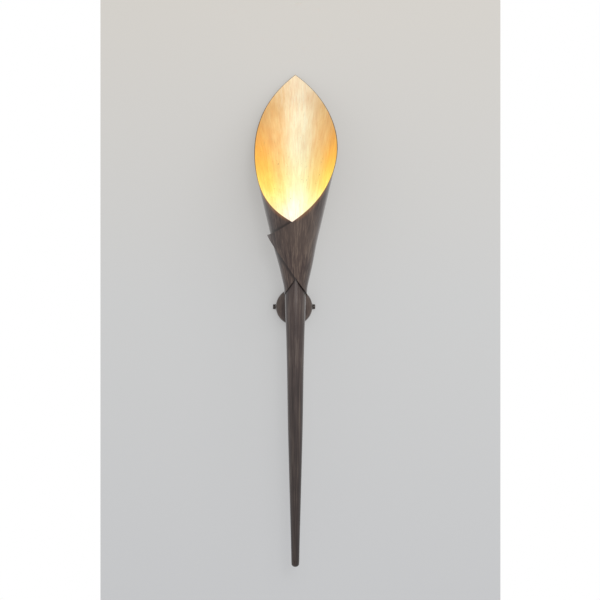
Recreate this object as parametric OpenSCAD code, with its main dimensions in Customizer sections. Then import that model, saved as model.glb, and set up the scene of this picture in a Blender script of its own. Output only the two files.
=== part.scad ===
// Torch sconce: a hollow tapered stem with a metal sheet rolled into a cone round its top,
// held off the wall by a short arm and a domed rosette.
//
// Millimetres. The origin is the middle of the rosette on the wall. +Z is up, +X is to the
// right and -Y points out of the wall, so the torch stands in front of the plane Y = 0.
//
// The shade is one flat sheet. Its outline is drawn flat, as slant distance from the point of
// the cone (along) and half width (across), and is then rolled round the cone. An azimuth of
// 0 faces the wall and 90 is to the right. The right flap lies over the left one in front.

/* [Torch] */
// Distance from the wall to the axis of the torch
torch_offset = 136; // [134:1:170]
// Height of the bottom end of the stem
stem_bottom_z = -520; // [-560:5:-480]
// Radius of the stem inside and just below the shade
stem_head_r = 20.5; // [20:0.1:22]
// Height where the stem starts to taper
stem_head_z = 8; // [2:1:18]
// Radius of the stem at the lower end of its quick taper
stem_neck_r = 18.7; // [17.5:0.1:19.5]
// Height of the lower end of the quick taper
stem_neck_z = -46; // [-60:2:-30]
// Radius of the stem at the upper end of its slow taper
stem_upper_r = 16.4; // [15:0.1:17.5]
// Height of the upper end of the slow taper
stem_upper_z = -146; // [-170:2:-120]
// Radius of the stem at the lower end of its slow taper
stem_lower_r = 14.9; // [13:0.1:15.5]
// Height of the lower end of the slow taper
stem_lower_z = -246; // [-270:2:-220]
// Radius of the stem a little above its foot
stem_foot_r = 8.7; // [8.2:0.1:10]
// Height of that place
stem_foot_z = -478; // [-490:2:-440]
// Radius of the stem at its bottom end
stem_end_r = 8.1; // [7:0.1:8.2]
// Wall of the stem tube
stem_wall = 1.5; // [1:0.1:2]
// Depth of the rounded plug that shows under the tube
stem_tip_h = 13; // [12:0.5:20]

/* [Shade sheet] */
// Half angle of the cone that the sheet is rolled to
cone_angle = 13.4; // [13:0.1:15]
// Height of the point of that cone
cone_apex_z = -52; // [-54:0.5:-50]
// Thickness of the sheet
sheet_t = 1.0; // [0.8:0.1:1.5]
// Air between the two flaps in front
lap_gap = 0.6; // [0.5:0.1:1.5]
// Slant distance from the point of the cone to the middle of the sheet's bottom edge
sheet_bottom = 71; // [70:1:78]
// How much higher the bottom edge lies in front than on the wall side
bottom_rise = 26; // [18:1:28]
// Half width of the sheet where the bottom edge lies highest
bottom_rise_w = 149; // [130:1:160]
// Height of the flat sheet from its bottom edge to its tip
sheet_h = 480; // [430:1:490]
// Sideways place of the tip on the flat sheet
tip_side = 4.8; // [-6:0.2:6]
// Angle between the right edge and the middle of the sheet at the tip
right_tip_angle = 53; // [46:1:58]
// Reach of the right edge's curve from the tip
right_tip_reach = 90; // [70:2:120]
// Height of the point on the right edge where its two curves meet
right_side_h = 247; // [230:1:260]
// Half width of the sheet at that point
right_side_w = 127; // [122:0.5:132]
// Lean of the right edge at that point
right_side_angle = 11.6; // [8:0.2:16]
// Reach of the curve above that point
right_side_up = 71; // [50:1:90]
// Reach of the curve below that point
right_side_down = 80; // [50:1:90]
// Lean of the right edge at its corner
right_corner_angle = 33.7; // [26:0.5:38]
// Reach of its curve from the corner
right_corner_reach = 55; // [30:1:60]
// Angle between the left edge and the middle of the sheet at the tip
left_tip_angle = 51; // [46:1:58]
// Reach of the left edge's curve from the tip
left_tip_reach = 99; // [70:1:120]
// Height of the point on the left edge where its two curves meet
left_side_h = 234; // [220:1:250]
// Half width of the sheet at that point
left_side_w = 110.5; // [104:0.5:118]
// Lean of the left edge at that point
left_side_angle = 9.3; // [6:0.2:16]
// Reach of the curve above that point
left_side_up = 85; // [50:1:100]
// Reach of the curve below that point
left_side_down = 69; // [40:1:80]
// Lean of the left edge at its corner
left_corner_angle = 32.4; // [26:0.5:38]
// Reach of its curve from the corner
left_corner_reach = 46; // [30:1:60]
// Half width of the bottom edge, from the middle to the corner of a flap
corner_w = 180; // [170:1:186]
// How far the corner of the right flap stands off the cone
corner_spring = 5.4; // [0:0.2:8]
// How far the sheet stands to the left of the stem's axis above its seat
sheet_lean = 2.2; // [0:0.1:3]

/* [Shade seat] */
// How far the stem rises above the place where the bottom edges cross in front
stem_rise = 7; // [5:0.5:12]
// Height of the seat's conical rim
seat_h = 8; // [7:0.5:12]
// Thickness of the seat's flat web
seat_web = 4; // [3:0.5:5]
// Length of the seat's spigot in the stem
seat_spigot_h = 12; // [8:1:20]
// Azimuth of the two screws that hold the sheet to its seat, each side of the wall side
seat_screw_azimuth = 35; // [25:1:50]

/* [Arm and rosette] */
// Outside radius of the arm
arm_r = 8; // [7:0.25:9]
// Wall of the arm tube
arm_wall = 1.5; // [1:0.1:2]
// Radius of the saddle between arm and stem
saddle_r = 9.5; // [9:0.25:9.75]
// Length of the saddle along the arm, to the back of the stem
saddle_l = 8; // [6:0.5:14]
// Outside radius of the rosette
rosette_r = 38; // [37.5:0.5:48]
// Depth of the rosette from the wall
rosette_h = 30; // [28:0.5:40]
// Depth of the rosette's straight rim
rosette_rim_h = 15; // [14:0.5:18]
// Radius of the rosette's flat front
rosette_flat_r = 12; // [11:0.5:16]
// Wall of the rosette
rosette_wall = 1.2; // [0.8:0.1:1.6]
// Outside radius of the threaded nipple that ties the arm together
nipple_r = 4.95; // [4.5:0.05:5.5]
// Radius of the nipple's bore
nipple_bore_r = 3.4; // [3.2:0.1:3.6]

/* [Wall bracket] */
// Height of the bracket's cross strap
strap_w = 18; // [14:1:22]
// Thickness of the bracket
bracket_t = 1.5; // [1:0.1:2]
// Depth of the bracket's bent ears
ear_h = 13; // [12:0.5:14.5]
// Spacing of the two wall slots
slot_spacing = 44; // [42:1:46]
// Width of a wall slot
slot_w = 4.5; // [4:0.25:5.5]
// Length of a wall slot from end to end
slot_l = 8; // [6:0.5:10]
// Radius of the hole for the supply cable
cable_hole_r = 7; // [5:0.5:8]
// Radius of the side screws
side_screw_r = 1.9; // [1.5:0.05:2.4]
// Radius of a side screw's head
side_head_r = 5.1; // [4:0.1:5.6]
// Length of a side screw's head
side_head_l = 5.8; // [4:0.1:8]

/* [Lamp] */
// Width of the bridge that carries the lamp holder
bridge_w = 15; // [14.5:0.5:20]
// Height of the bridge that lifts the lamp holder off its seat
bridge_h = 12; // [11:0.5:16]
// Radius of the lamp holder
holder_r = 14; // [13:0.25:15]
// Height of the lamp holder
holder_h = 24; // [22:0.5:30]
// Radius of the bulb's glass
bulb_r = 6.75; // [5.5:0.25:8]
// Length of the bulb's glass
bulb_h = 42; // [35:1:46]
// Distance between the bulb's pins
pin_pitch = 9; // [8:0.5:10]
// Radius of the insulated leads
lead_r = 0.95; // [0.7:0.05:1.1]

/* [Hidden] */
// Shared clearances and small standard sizes.
fit = 0.05;            // radial clearance of a shaft in its hole
loose = 0.3;           // clearance of a screw in a drilled hole, and under a loose head
m3_r = 1.45;
m4_r = 1.95;
$fn = 64;

// Shade: cone, columns and overlap.
cone_sin = sin(cone_angle);
cone_cos = cos(cone_angle);
cone_tan = tan(cone_angle);
arch_steps = 30;       // columns from the tip to the point where an edge's curves meet
flap_steps = 28;       // columns from there to a corner
lean_h = 60;           // height over which the sheet moves to its lean
corner_cut = 0.6;      // blunting of the sharp corners
wrap_soft = 1.2;       // how gently the cone runs out into the wrap round the stem
lap_from = 20;         // azimuth where the right flap starts to lift over the left one
lap_to = 80;           // azimuth where it lies over it
spring_from = 205;     // azimuth where its corner starts to stand off
lap_lift = sheet_t + lap_gap;
sheet_tip = [sheet_bottom + sheet_h, tip_side];
right_corner = [bottom_x(corner_w) + corner_cut, corner_w];
cross_z = cone_apex_z + bottom_slant(180 * cone_sin) * cone_cos;

// Stem: it ends inside the shade, whose lowest part wraps round it.
wrap_r = stem_head_r + loose + sheet_t / 2;
stem_top_z = cross_z + stem_rise;
tube_end_z = stem_bottom_z + stem_tip_h;
stem_profile = [
    [stem_head_r, stem_top_z], [stem_head_r, stem_head_z],
    [stem_neck_r, stem_neck_z], [stem_upper_r, stem_upper_z], [stem_lower_r, stem_lower_z],
    [stem_foot_r, stem_foot_z], [stem_end_r, tube_end_z]
];
stem_tip_spigot = 12;

// Arm axis at Z = 0. Depths here count from the wall.
stem_r_at_arm = lookup(0, [for (p = stem_profile) [p[1], p[0]]]);
stem_back = torch_offset - stem_r_at_arm;
arm_end = stem_back - saddle_l;
washer_face = torch_offset - stem_r_at_arm + stem_wall + 5.5;
nut_h = 4;
nut_r = 8.1;
washer_r = 9;
washer_t = 1;
tag_t = 0.8;
rosette_gap = 0.5;     // rim of the rosette to the wall
rosette_inside = rosette_h - rosette_wall;
nipple_end = rosette_inside - washer_t - tag_t - nut_h - 2.5;
nipple_front = washer_face + nut_h + 2;

// Bracket.
ear_gap = 0.6;         // rosette's wall to the corners of the strap
ear_x = sqrt(pow(rosette_r - rosette_wall, 2) - pow(strap_w / 2, 2)) - ear_gap;
ear_w = 12;
side_screw_y = 8;      // depth of the side screws from the wall
tongue_w = 28;
tongue_end = 32.5;
earth_lug_w = 12;
earth_lug_end = 27;
earth_screw_z = 20;
side_screw_reach = 3;  // thread past the ear
side_collar_r = side_head_r + 0.7;
side_collar_h = 1.8;

// Terminal block on the tongue.
block_l = 29;
block_h = 15;
block_d = 13;
block_top = -16;
way_pitch = 9.4;
way_r = 1.6;
insert_r = 2.4;
way_depth = bracket_t + 6.5;
way_screw_r = 1.3;
way_screw_inset = 4;

// Seat and lamp.
seat_z = stem_top_z;
seat_top_z = seat_z + seat_h;
spigot_r = stem_head_r - stem_wall - fit;
seat_bore_r = 12.8;
grommet_hole_r = 5;
grommet_bore_r = 3;
grommet_lip = 1;
seat_screw_z = seat_z + seat_h / 2 - 0.5;
bridge_t = 1.2;
bridge_leg_x = 10;
bridge_foot_x = 19;
foot_screw_x = 15.5;
bridge_hole_r = pin_pitch / 2 + lead_r + loose;
holder_z = seat_top_z + bridge_h;
holder_screw_x = 7.2;
holder_screw_y = 5;
holder_screw_head = 2.3;
recess_l = 17.6;
recess_w = 8.6;
recess_h = 11;
contact_r = 2.1;
contact_h = 8;
pin_r = 0.9;
holder_top_z = holder_z + holder_h;
recess_z = holder_top_z - recess_h;
base_play = 0.3;
base_z = recess_z;
base_neck = 1;         // block of the bulb's base above its holder
base_collar_r = 9;
base_collar_h = 5;
glass_z = base_z + recess_h + base_neck + base_collar_h;
glass_wall = 0.8;

// ---- flat sheet and its roll ----

function bezier(p, t) = pow(1 - t, 3) * p[0] + 3 * pow(1 - t, 2) * t * p[1]
    + 3 * (1 - t) * t * t * p[2] + pow(t, 3) * p[3];

// The bottom edge rises from the wall side to the front.
function bottom_x(y) = sheet_bottom + bottom_rise / 2 * (1 - cos(180 * y / bottom_rise_w));
// Where a generator at a fan angle meets it, found step by step, and its slant distance there.
function bottom_hit(slope, x, n) = n == 0 ? x : bottom_hit(slope, bottom_x(x * slope), n - 1);
function bottom_slant(fan) = bottom_hit(tan(fan), sheet_bottom + bottom_rise / 2, 16) / cos(fan);

function heading(a) = [cos(a), -sin(a)];

// One side of the flat outline, from the tip down to the corner, as two curves that meet at side.
function side_outline(tip, tip_angle, tip_reach, side, side_angle, up, down, angle, reach) =
    let (
        arch = [tip, tip - tip_reach * heading(tip_angle), side + up * heading(side_angle), side],
        flap = [
            side, side - down * heading(side_angle),
            right_corner + reach * heading(angle), right_corner
        ]
    )
    concat(
        [for (i = [0:arch_steps]) bezier(arch, i / arch_steps)],
        [for (i = [1:flap_steps]) bezier(flap, i / flap_steps)]
    );

right_side = side_outline(
    sheet_tip, right_tip_angle, right_tip_reach,
    [sheet_bottom + right_side_h, right_side_w], right_side_angle, right_side_up, right_side_down,
    right_corner_angle, right_corner_reach
);
left_side = side_outline(
    [sheet_tip[0], -sheet_tip[1]], left_tip_angle, left_tip_reach,
    [sheet_bottom + left_side_h, left_side_w], left_side_angle, left_side_up, left_side_down,
    left_corner_angle, left_corner_reach
);
// The whole upper edge, from the hidden left corner over the tip to the right corner.
upper_edge = concat(
    [for (i = [len(left_side) - 1:-1:1]) [left_side[i][0], -left_side[i][1]]],
    right_side
);

function fan_angle(p) = atan2(p[1], p[0]);
function azimuth(p) = fan_angle(p) / cone_sin;
function smooth(x) = let (t = min(1, max(0, x))) t * t * (3 - 2 * t);
function lift(a) = lap_lift * smooth((a - lap_from) / (lap_to - lap_from))
    + corner_spring * pow(max(0, (a - spring_from) / (azimuth(right_corner) - spring_from)), 2);

// Point at an azimuth, a slant distance and a height over the cone.
// Low down, where the cone would be narrower than the stem, the sheet wraps round the stem.
function on_cone(a, slant, over) =
    let (
        cone_r = slant * cone_sin + over * cone_cos,
        stem_r = wrap_r + over,
        r = (cone_r + stem_r + sqrt(pow(cone_r - stem_r, 2) + pow(wrap_soft, 2))) / 2,
        z = cone_apex_z + slant * cone_cos - over * cone_sin,
        lean = sheet_lean * smooth((z - seat_top_z - 2) / lean_h)
    )
    [r * sin(a) - lean, r * cos(a) - torch_offset, z];

// A rolled layer between two heights over the cone, for a run of upper-edge points.
module rolled(edge, inner, outer) {
    n = len(edge);
    points = [for (p = edge) let (
            a = azimuth(p),
            low = bottom_slant(fan_angle(p)),
            top = norm(p),
            over = lift(a)
        ) each [
            on_cone(a, low, over + inner), on_cone(a, low, over + outer),
            on_cone(a, top, over + outer), on_cone(a, top, over + inner)
        ]];
    walls = [for (i = [0:n - 2], k = [0:3]) let (
            a = 4 * i + k,
            b = 4 * i + (k + 1) % 4
        ) each [[a, b, b + 4], [a, b + 4, a + 4]]];
    last = 4 * (n - 1);
    ends = [[0, 2, 1], [0, 3, 2], [last, last + 1, last + 2], [last, last + 2, last + 3]];
    polyhedron(points, concat(walls, ends));
}

// Places children at the seat screws: their +Z points out of the sheet.
module at_seat_screws() {
    slant = (seat_screw_z - cone_apex_z) / cone_cos;
    for (a = [-seat_screw_azimuth, seat_screw_azimuth])
        translate(on_cone(a, slant, lift(a)))
            rotate([0, 0, 90 - a])
                rotate([0, 90 + cone_angle, 0])
                    children();
}

module shade_sheet() {
    color([0.30, 0.26, 0.24])
        difference() {
            rolled(upper_edge, -sheet_t / 2, sheet_t / 2);
            at_seat_screws() cylinder(h = 4 * sheet_t, r = m4_r + loose, center = true);
        }
}

// ---- general pieces ----

module tube(outer_r, inner_r, h) {
    difference() {
        cylinder(h = h, r = outer_r);
        translate([0, 0, -1]) cylinder(h = h + 2, r = inner_r);
    }
}

// Screw whose head sits on Z = 0 and whose shank points down.
module screw(shank_r, shank_l, head_r, head_h) {
    difference() {
        union() {
            translate([0, 0, -shank_l]) cylinder(h = shank_l + head_h * 0.3, r = shank_r);
            rotate_extrude()
                polygon([
                    [0, 0], [head_r, 0], [head_r, head_h * 0.6], [head_r * 0.75, head_h], [0, head_h]
                ]);
        }
        translate([-head_r - 1, -head_h * 0.2, head_h * 0.55])
            cube([2 * head_r + 2, head_h * 0.4, head_h]);
    }
}

// Hexagonal nut on Z = 0.
module nut(bore_r, h) {
    difference() {
        cylinder(h = h, r = nut_r, $fn = 6);
        translate([0, 0, -1]) cylinder(h = h + 2, r = bore_r);
    }
}

// Turns what is drawn with Z as the depth out of the wall and Y as up.
module from_wall() {
    rotate([90, 0, 0]) children();
}

module on_torch_axis() {
    translate([0, -torch_offset, 0]) children();
}

// Round tube along a route whose corners are rounded.
function unit(v) = v / norm(v);
function bend(a, b, c, d, n) = let (p = b + unit(a - b) * d, q = b + unit(c - b) * d)
    [for (i = [0:n]) let (t = i / n) pow(1 - t, 2) * p + 2 * (1 - t) * t * b + t * t * q];
function rounded(route, d, n) = concat(
    [route[0]],
    [for (i = [1:len(route) - 2]) each bend(route[i - 1], route[i], route[i + 1], d, n)],
    [route[len(route) - 1]]
);
function tangent(p, i) = unit(p[min(i + 1, len(p) - 1)] - p[max(i - 1, 0)]);
function normals(p, i, n) = i == len(p) ? [] :
    let (t = tangent(p, i), m = unit(n - (n * t) * t)) concat([m], normals(p, i + 1, m));

module lead(route, bend_d) {
    sides = 8;
    path = rounded(route, bend_d, 4);
    side_v = normals(path, 0, [0.31, 0.52, 0.79]);
    count = len(path);
    points = [for (i = [0:count - 1]) let (u = side_v[i], v = cross(tangent(path, i), u))
        for (k = [0:sides - 1]) path[i]
            + lead_r * (cos(360 * k / sides) * u + sin(360 * k / sides) * v)];
    walls = [for (i = [0:count - 2], k = [0:sides - 1]) let (
            a = sides * i + k,
            b = sides * i + (k + 1) % sides
        ) each [[a, b + sides, b], [a, a + sides, b + sides]]];
    first = [for (k = [1:sides - 2]) [0, k, k + 1]];
    last_ring = sides * (count - 1);
    last = [for (k = [1:sides - 2]) [last_ring, last_ring + k + 1, last_ring + k]];
    polyhedron(points, concat(walls, first, last));
}

// ---- stem ----

// Solid of the stem's outline, drawn in or out by a distance.
module stem_solid(grow, low, top) {
    outline = [for (p = stem_profile) [p[0] + grow, p[1]]];
    on_torch_axis()
        intersection() {
            rotate_extrude() polygon(concat(outline, [[0, tube_end_z], [0, stem_top_z]]));
            translate([0, 0, low]) cylinder(h = top - low, r = 3 * stem_head_r);
        }
}

module stem_tube() {
    outline = concat(
        stem_profile,
        [for (i = [len(stem_profile) - 1:-1:0]) stem_profile[i] - [stem_wall, 0]]
    );
    color([0.29, 0.26, 0.25])
        difference() {
            on_torch_axis() rotate_extrude() polygon(outline);
            from_wall()
                translate([0, 0, stem_back - 5])
                    cylinder(h = stem_wall + 10, r = nipple_r + 4 * fit);
        }
}

module stem_tip() {
    spigot = stem_end_r - stem_wall - fit;
    arc_r = stem_end_r - 0.4;
    arc = [for (i = [0:8]) let (a = 90 * i / 8)
        [arc_r * cos(a), stem_bottom_z + arc_r - arc_r * sin(a)]];
    color([0.27, 0.24, 0.23])
        on_torch_axis()
            rotate_extrude()
                polygon(concat(
                    [[0, tube_end_z + stem_tip_spigot], [spigot, tube_end_z + stem_tip_spigot],
                     [spigot, tube_end_z], [stem_end_r, tube_end_z]],
                    arc
                ));
}

// ---- shade seat and lamp ----

function seat_r(z) = (z - cone_apex_z) * cone_tan - (sheet_t / 2 + 2 * fit) / cone_cos;

module shade_seat() {
    web_z = seat_top_z - seat_web;
    outline = [
        [grommet_hole_r, web_z], [grommet_hole_r, seat_top_z],
        [seat_r(seat_top_z), seat_top_z], [seat_r(seat_z), seat_z],
        [spigot_r, seat_z], [spigot_r, seat_z - seat_spigot_h],
        [seat_bore_r, seat_z - seat_spigot_h], [seat_bore_r, web_z]
    ];
    color([0.45, 0.43, 0.40])
        difference() {
            on_torch_axis() rotate_extrude() polygon(outline);
            at_seat_screws()
                translate([0, 0, -10]) cylinder(h = 12, r = m4_r + fit);
            for (side = [-1, 1])
                translate([side * foot_screw_x, -torch_offset, seat_top_z - seat_h + 1])
                    cylinder(h = seat_h, r = m3_r + fit);
        }
}

module shade_screws() {
    color([0.25, 0.22, 0.20])
        at_seat_screws()
            translate([0, 0, sheet_t / 2 + 2 * fit]) screw(m4_r, 8, 3.6, 2);
}

module lead_grommet() {
    web_z = seat_top_z - seat_web;
    lip_r = grommet_hole_r + 1.5;
    outline = [
        [grommet_bore_r, web_z - grommet_lip], [lip_r, web_z - grommet_lip],
        [lip_r, web_z - fit], [grommet_hole_r - fit, web_z - fit],
        [grommet_hole_r - fit, seat_top_z + fit], [lip_r, seat_top_z + fit],
        [lip_r, seat_top_z + grommet_lip], [grommet_bore_r, seat_top_z + grommet_lip]
    ];
    color([0.12, 0.12, 0.12])
        on_torch_axis() rotate_extrude() polygon(outline);
}

// A strap bent like a hat: two feet on the seat, two legs and a top for the lamp holder.
module holder_bridge() {
    color([0.72, 0.72, 0.70])
        translate([0, -torch_offset, seat_top_z])
            difference() {
                union() {
                    for (side = [-1, 1]) {
                        translate([side > 0 ? bridge_leg_x : -bridge_foot_x, -bridge_w / 2, 0])
                            cube([bridge_foot_x - bridge_leg_x, bridge_w, bridge_t]);
                        translate([side > 0 ? bridge_leg_x : -bridge_leg_x - bridge_t,
                                   -bridge_w / 2, 0])
                            cube([bridge_t, bridge_w, bridge_h]);
                    }
                    translate([-bridge_leg_x - bridge_t, -bridge_w / 2, bridge_h - bridge_t])
                        cube([2 * (bridge_leg_x + bridge_t), bridge_w, bridge_t]);
                }
                translate([0, 0, bridge_h - 2 * bridge_t])
                    cylinder(h = 3 * bridge_t, r = bridge_hole_r);
                for (side = [-1, 1]) {
                    translate([side * foot_screw_x, 0, -1])
                        cylinder(h = bridge_t + 2, r = m3_r + loose);
                    translate([side * holder_screw_x, side * holder_screw_y,
                               bridge_h - 2 * bridge_t])
                        cylinder(h = 3 * bridge_t, r = m3_r + 3 * fit);
                }
            }
}

module bridge_screws() {
    color([0.75, 0.75, 0.72])
        for (side = [-1, 1])
            translate([side * foot_screw_x, -torch_offset, seat_top_z + bridge_t])
                screw(m3_r, 7, 2.7, 1.8);
}

module holder_screws() {
    color([0.75, 0.75, 0.72])
        for (side = [-1, 1])
            translate([side * holder_screw_x, side * holder_screw_y - torch_offset,
                       holder_z - bridge_t])
                rotate([180, 0, 0]) screw(m3_r, 7, holder_screw_head, 1.6);
}

module lamp_holder() {
    color([0.93, 0.92, 0.88])
        translate([0, -torch_offset, holder_z])
            difference() {
                cylinder(h = holder_h, r = holder_r);
                translate([-recess_l / 2, -recess_w / 2, holder_h - recess_h])
                    cube([recess_l, recess_w, recess_h + 1]);
                for (side = [-1, 1]) {
                    translate([side * pin_pitch / 2, 0, holder_h - recess_h - contact_h - fit])
                        cylinder(h = contact_h + 1, r = contact_r + fit);
                    translate([side * pin_pitch / 2, 0, -1])
                        cylinder(h = holder_h - recess_h, r = lead_r + 2 * fit);
                    translate([side * holder_screw_x, side * holder_screw_y, -1])
                        cylinder(h = 8, r = m3_r + fit);
                }
            }
}

module holder_contacts() {
    color([0.80, 0.66, 0.35])
        for (side = [-1, 1])
            translate([side * pin_pitch / 2, -torch_offset, recess_z - contact_h])
                tube(contact_r, pin_r + fit, contact_h - fit);
}

module bulb_base() {
    l = recess_l - 2 * base_play;
    w = recess_w - 2 * base_play;
    chamfer = 1;
    outline = [
        [-l / 2 + chamfer, -w / 2], [l / 2 - chamfer, -w / 2], [l / 2, -w / 2 + chamfer],
        [l / 2, w / 2 - chamfer], [l / 2 - chamfer, w / 2], [-l / 2 + chamfer, w / 2],
        [-l / 2, w / 2 - chamfer], [-l / 2, -w / 2 + chamfer]
    ];
    color([0.90, 0.89, 0.85])
        translate([0, -torch_offset, base_z])
            union() {
                linear_extrude(recess_h + base_neck + 1) polygon(outline);
                translate([0, 0, recess_h + base_neck])
                    cylinder(h = base_collar_h, r = base_collar_r);
            }
}

module bulb_pins() {
    color([0.75, 0.75, 0.75])
        for (side = [-1, 1])
            translate([side * pin_pitch / 2, -torch_offset, base_z - contact_h + 1])
                cylinder(h = contact_h - 1, r = pin_r);
}

module bulb_glass() {
    straight = bulb_h - bulb_r;
    steps = 8;
    outer = [for (i = [0:steps]) let (a = 90 * i / steps)
        [bulb_r * cos(a), straight + bulb_r * sin(a)]];
    inner = [for (i = [steps:-1:0]) let (a = 90 * i / steps, r = bulb_r - glass_wall)
        [r * cos(a), straight + r * sin(a)]];
    color([1.0, 0.92, 0.75, 0.5])
        translate([0, -torch_offset, glass_z])
            rotate_extrude()
                polygon(concat([[bulb_r, 0]], outer, inner, [[bulb_r - glass_wall, 0]]));
}

module bulb_filament() {
    wire_r = 0.3;
    coil_r = 1.1;
    coil_l = 16;
    coil_z = bulb_h * 0.42;
    color([1.0, 0.85, 0.55])
        translate([0, -torch_offset, glass_z])
            union() {
                translate([0, 0, coil_z]) tube(coil_r, coil_r - 0.5, coil_l);
                for (side = [-1, 1])
                    translate([side * (coil_r - 0.25), 0, 0])
                        cylinder(h = coil_z + 1, r = wire_r);
            }
}

// ---- arm, rosette and bracket ----

module arm_tube() {
    color([0.30, 0.27, 0.25])
        from_wall() translate([0, 0, rosette_h]) tube(arm_r, arm_r - arm_wall, arm_end - rosette_h);
}

module arm_saddle() {
    color([0.30, 0.27, 0.25])
        difference() {
            from_wall()
                translate([0, 0, arm_end]) tube(saddle_r, nipple_r + 2 * fit, saddle_l + stem_r_at_arm / 2);
            stem_solid(2 * fit, -2 * saddle_r, 2 * saddle_r);
        }
}

module tie_nipple() {
    color([0.78, 0.68, 0.42])
        from_wall()
            translate([0, 0, nipple_end]) tube(nipple_r, nipple_bore_r, nipple_front - nipple_end);
}

// Flat on the nut's side and round on the side that lies in the stem.
module stem_washer() {
    color([0.70, 0.70, 0.68])
        intersection() {
            from_wall()
                translate([0, 0, stem_back]) tube(washer_r, nipple_r + 2 * fit, washer_face - stem_back);
            stem_solid(-stem_wall - 2 * fit, -2 * washer_r, 2 * washer_r);
        }
}

module stem_nut() {
    color([0.78, 0.68, 0.42])
        from_wall() translate([0, 0, washer_face]) nut(nipple_r + fit, nut_h);
}

module cup_washer() {
    color([0.75, 0.75, 0.72])
        from_wall()
            translate([0, 0, rosette_inside - washer_t]) tube(washer_r, nipple_r + 2 * fit, washer_t);
}

module earth_tag() {
    tab_w = 5;
    tab_l = 13;
    color([0.75, 0.75, 0.72])
        from_wall()
            translate([0, 0, rosette_inside - washer_t - tag_t])
                difference() {
                    union() {
                        cylinder(h = tag_t, r = washer_r - 1);
                        translate([-tab_w / 2, -tab_l, 0]) cube([tab_w, tab_l, tag_t]);
                    }
                    translate([0, 0, -1]) cylinder(h = tag_t + 2, r = nipple_r + 2 * fit);
                }
}

module cup_nut() {
    color([0.78, 0.68, 0.42])
        from_wall()
            translate([0, 0, rosette_inside - washer_t - tag_t - nut_h]) nut(nipple_r + fit, nut_h);
}

module rosette_cup() {
    steps = 12;
    dome = [rosette_r - rosette_flat_r, rosette_h - rosette_rim_h];
    thin = rosette_wall;
    outer = [for (i = [0:steps]) let (a = 90 * i / steps)
        [rosette_flat_r + dome[0] * cos(a), rosette_rim_h + dome[1] * sin(a)]];
    inner = [for (i = [steps:-1:0]) let (a = 90 * i / steps)
        [rosette_flat_r + (dome[0] - thin) * cos(a), rosette_rim_h + (dome[1] - thin) * sin(a)]];
    hole = nipple_r + 4 * fit;
    color([0.33, 0.30, 0.28])
        from_wall()
            difference() {
                rotate_extrude()
                    polygon(concat(
                        [[rosette_r, rosette_gap]], outer, [[hole, rosette_h], [hole, rosette_inside]],
                        inner, [[rosette_r - thin, rosette_gap]]
                    ));
                for (side = [-1, 1])
                    translate([side * rosette_r, 0, side_screw_y])
                        rotate([0, 90, 0])
                            cylinder(h = 8 * thin, r = side_screw_r + loose, center = true);
            }
}

// Slotted head with a collar, drawn along +X from the middle of the rosette.
module side_screw() {
    head_x = rosette_r + loose;
    shank_start = ear_x - bracket_t - side_screw_reach;
    translate([0, -side_screw_y, 0])
        rotate([0, 90, 0])
            difference() {
                rotate_extrude()
                    polygon([
                        [0, shank_start], [side_screw_r, shank_start], [side_screw_r, head_x],
                        [side_collar_r, head_x], [side_collar_r, head_x + side_collar_h],
                        [side_head_r, head_x + side_collar_h],
                        [side_head_r, head_x + side_head_l - 0.6],
                        [side_head_r - 0.6, head_x + side_head_l], [0, head_x + side_head_l]
                    ]);
                translate([-side_head_r - 1, -0.5, head_x + side_head_l - 1.4])
                    cube([2 * side_head_r + 2, 1, 2]);
            }
}

module side_screw_right() {
    color([0.20, 0.18, 0.17]) side_screw();
}

module side_screw_left() {
    color([0.20, 0.18, 0.17]) mirror([1, 0, 0]) side_screw();
}

module wall_slot() {
    run = slot_l - slot_w;
    translate([-run / 2, -slot_w / 2, -1]) cube([run, slot_w, bracket_t + 2]);
    for (side = [-1, 1])
        translate([side * run / 2, 0, -1]) cylinder(h = bracket_t + 2, r = slot_w / 2);
}

module wall_bracket() {
    color([0.78, 0.78, 0.75])
        from_wall()
            difference() {
                union() {
                    translate([-ear_x, -strap_w / 2, 0]) cube([2 * ear_x, strap_w, bracket_t]);
                    translate([-tongue_w / 2, -tongue_end, 0]) cube([tongue_w, tongue_end, bracket_t]);
                    translate([-earth_lug_w / 2, 0, 0]) cube([earth_lug_w, earth_lug_end, bracket_t]);
                    for (side = [-1, 1])
                        translate([side > 0 ? ear_x - bracket_t : -ear_x, -ear_w / 2, 0])
                            cube([bracket_t, ear_w, ear_h]);
                }
                translate([0, 0, -1]) cylinder(h = bracket_t + 2, r = cable_hole_r);
                for (side = [-1, 1]) {
                    translate([side * slot_spacing / 2, 0, 0]) wall_slot();
                    translate([side * ear_x, 0, side_screw_y])
                        rotate([0, 90, 0])
                            cylinder(h = 4 * bracket_t, r = side_screw_r + fit, center = true);
                    translate([side * way_pitch / 2, block_top - block_h / 2, -1])
                        cylinder(h = bracket_t + 2, r = m3_r + fit);
                }
                translate([0, earth_screw_z, -1]) cylinder(h = bracket_t + 2, r = m4_r + fit);
            }
}

module earth_screw() {
    color([0.80, 0.66, 0.35])
        from_wall()
            translate([0, earth_screw_z, bracket_t + 2 * lead_r + 4 * fit])
                screw(m4_r, bracket_t + 2 * lead_r, 3.6, 2.2);
}

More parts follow.
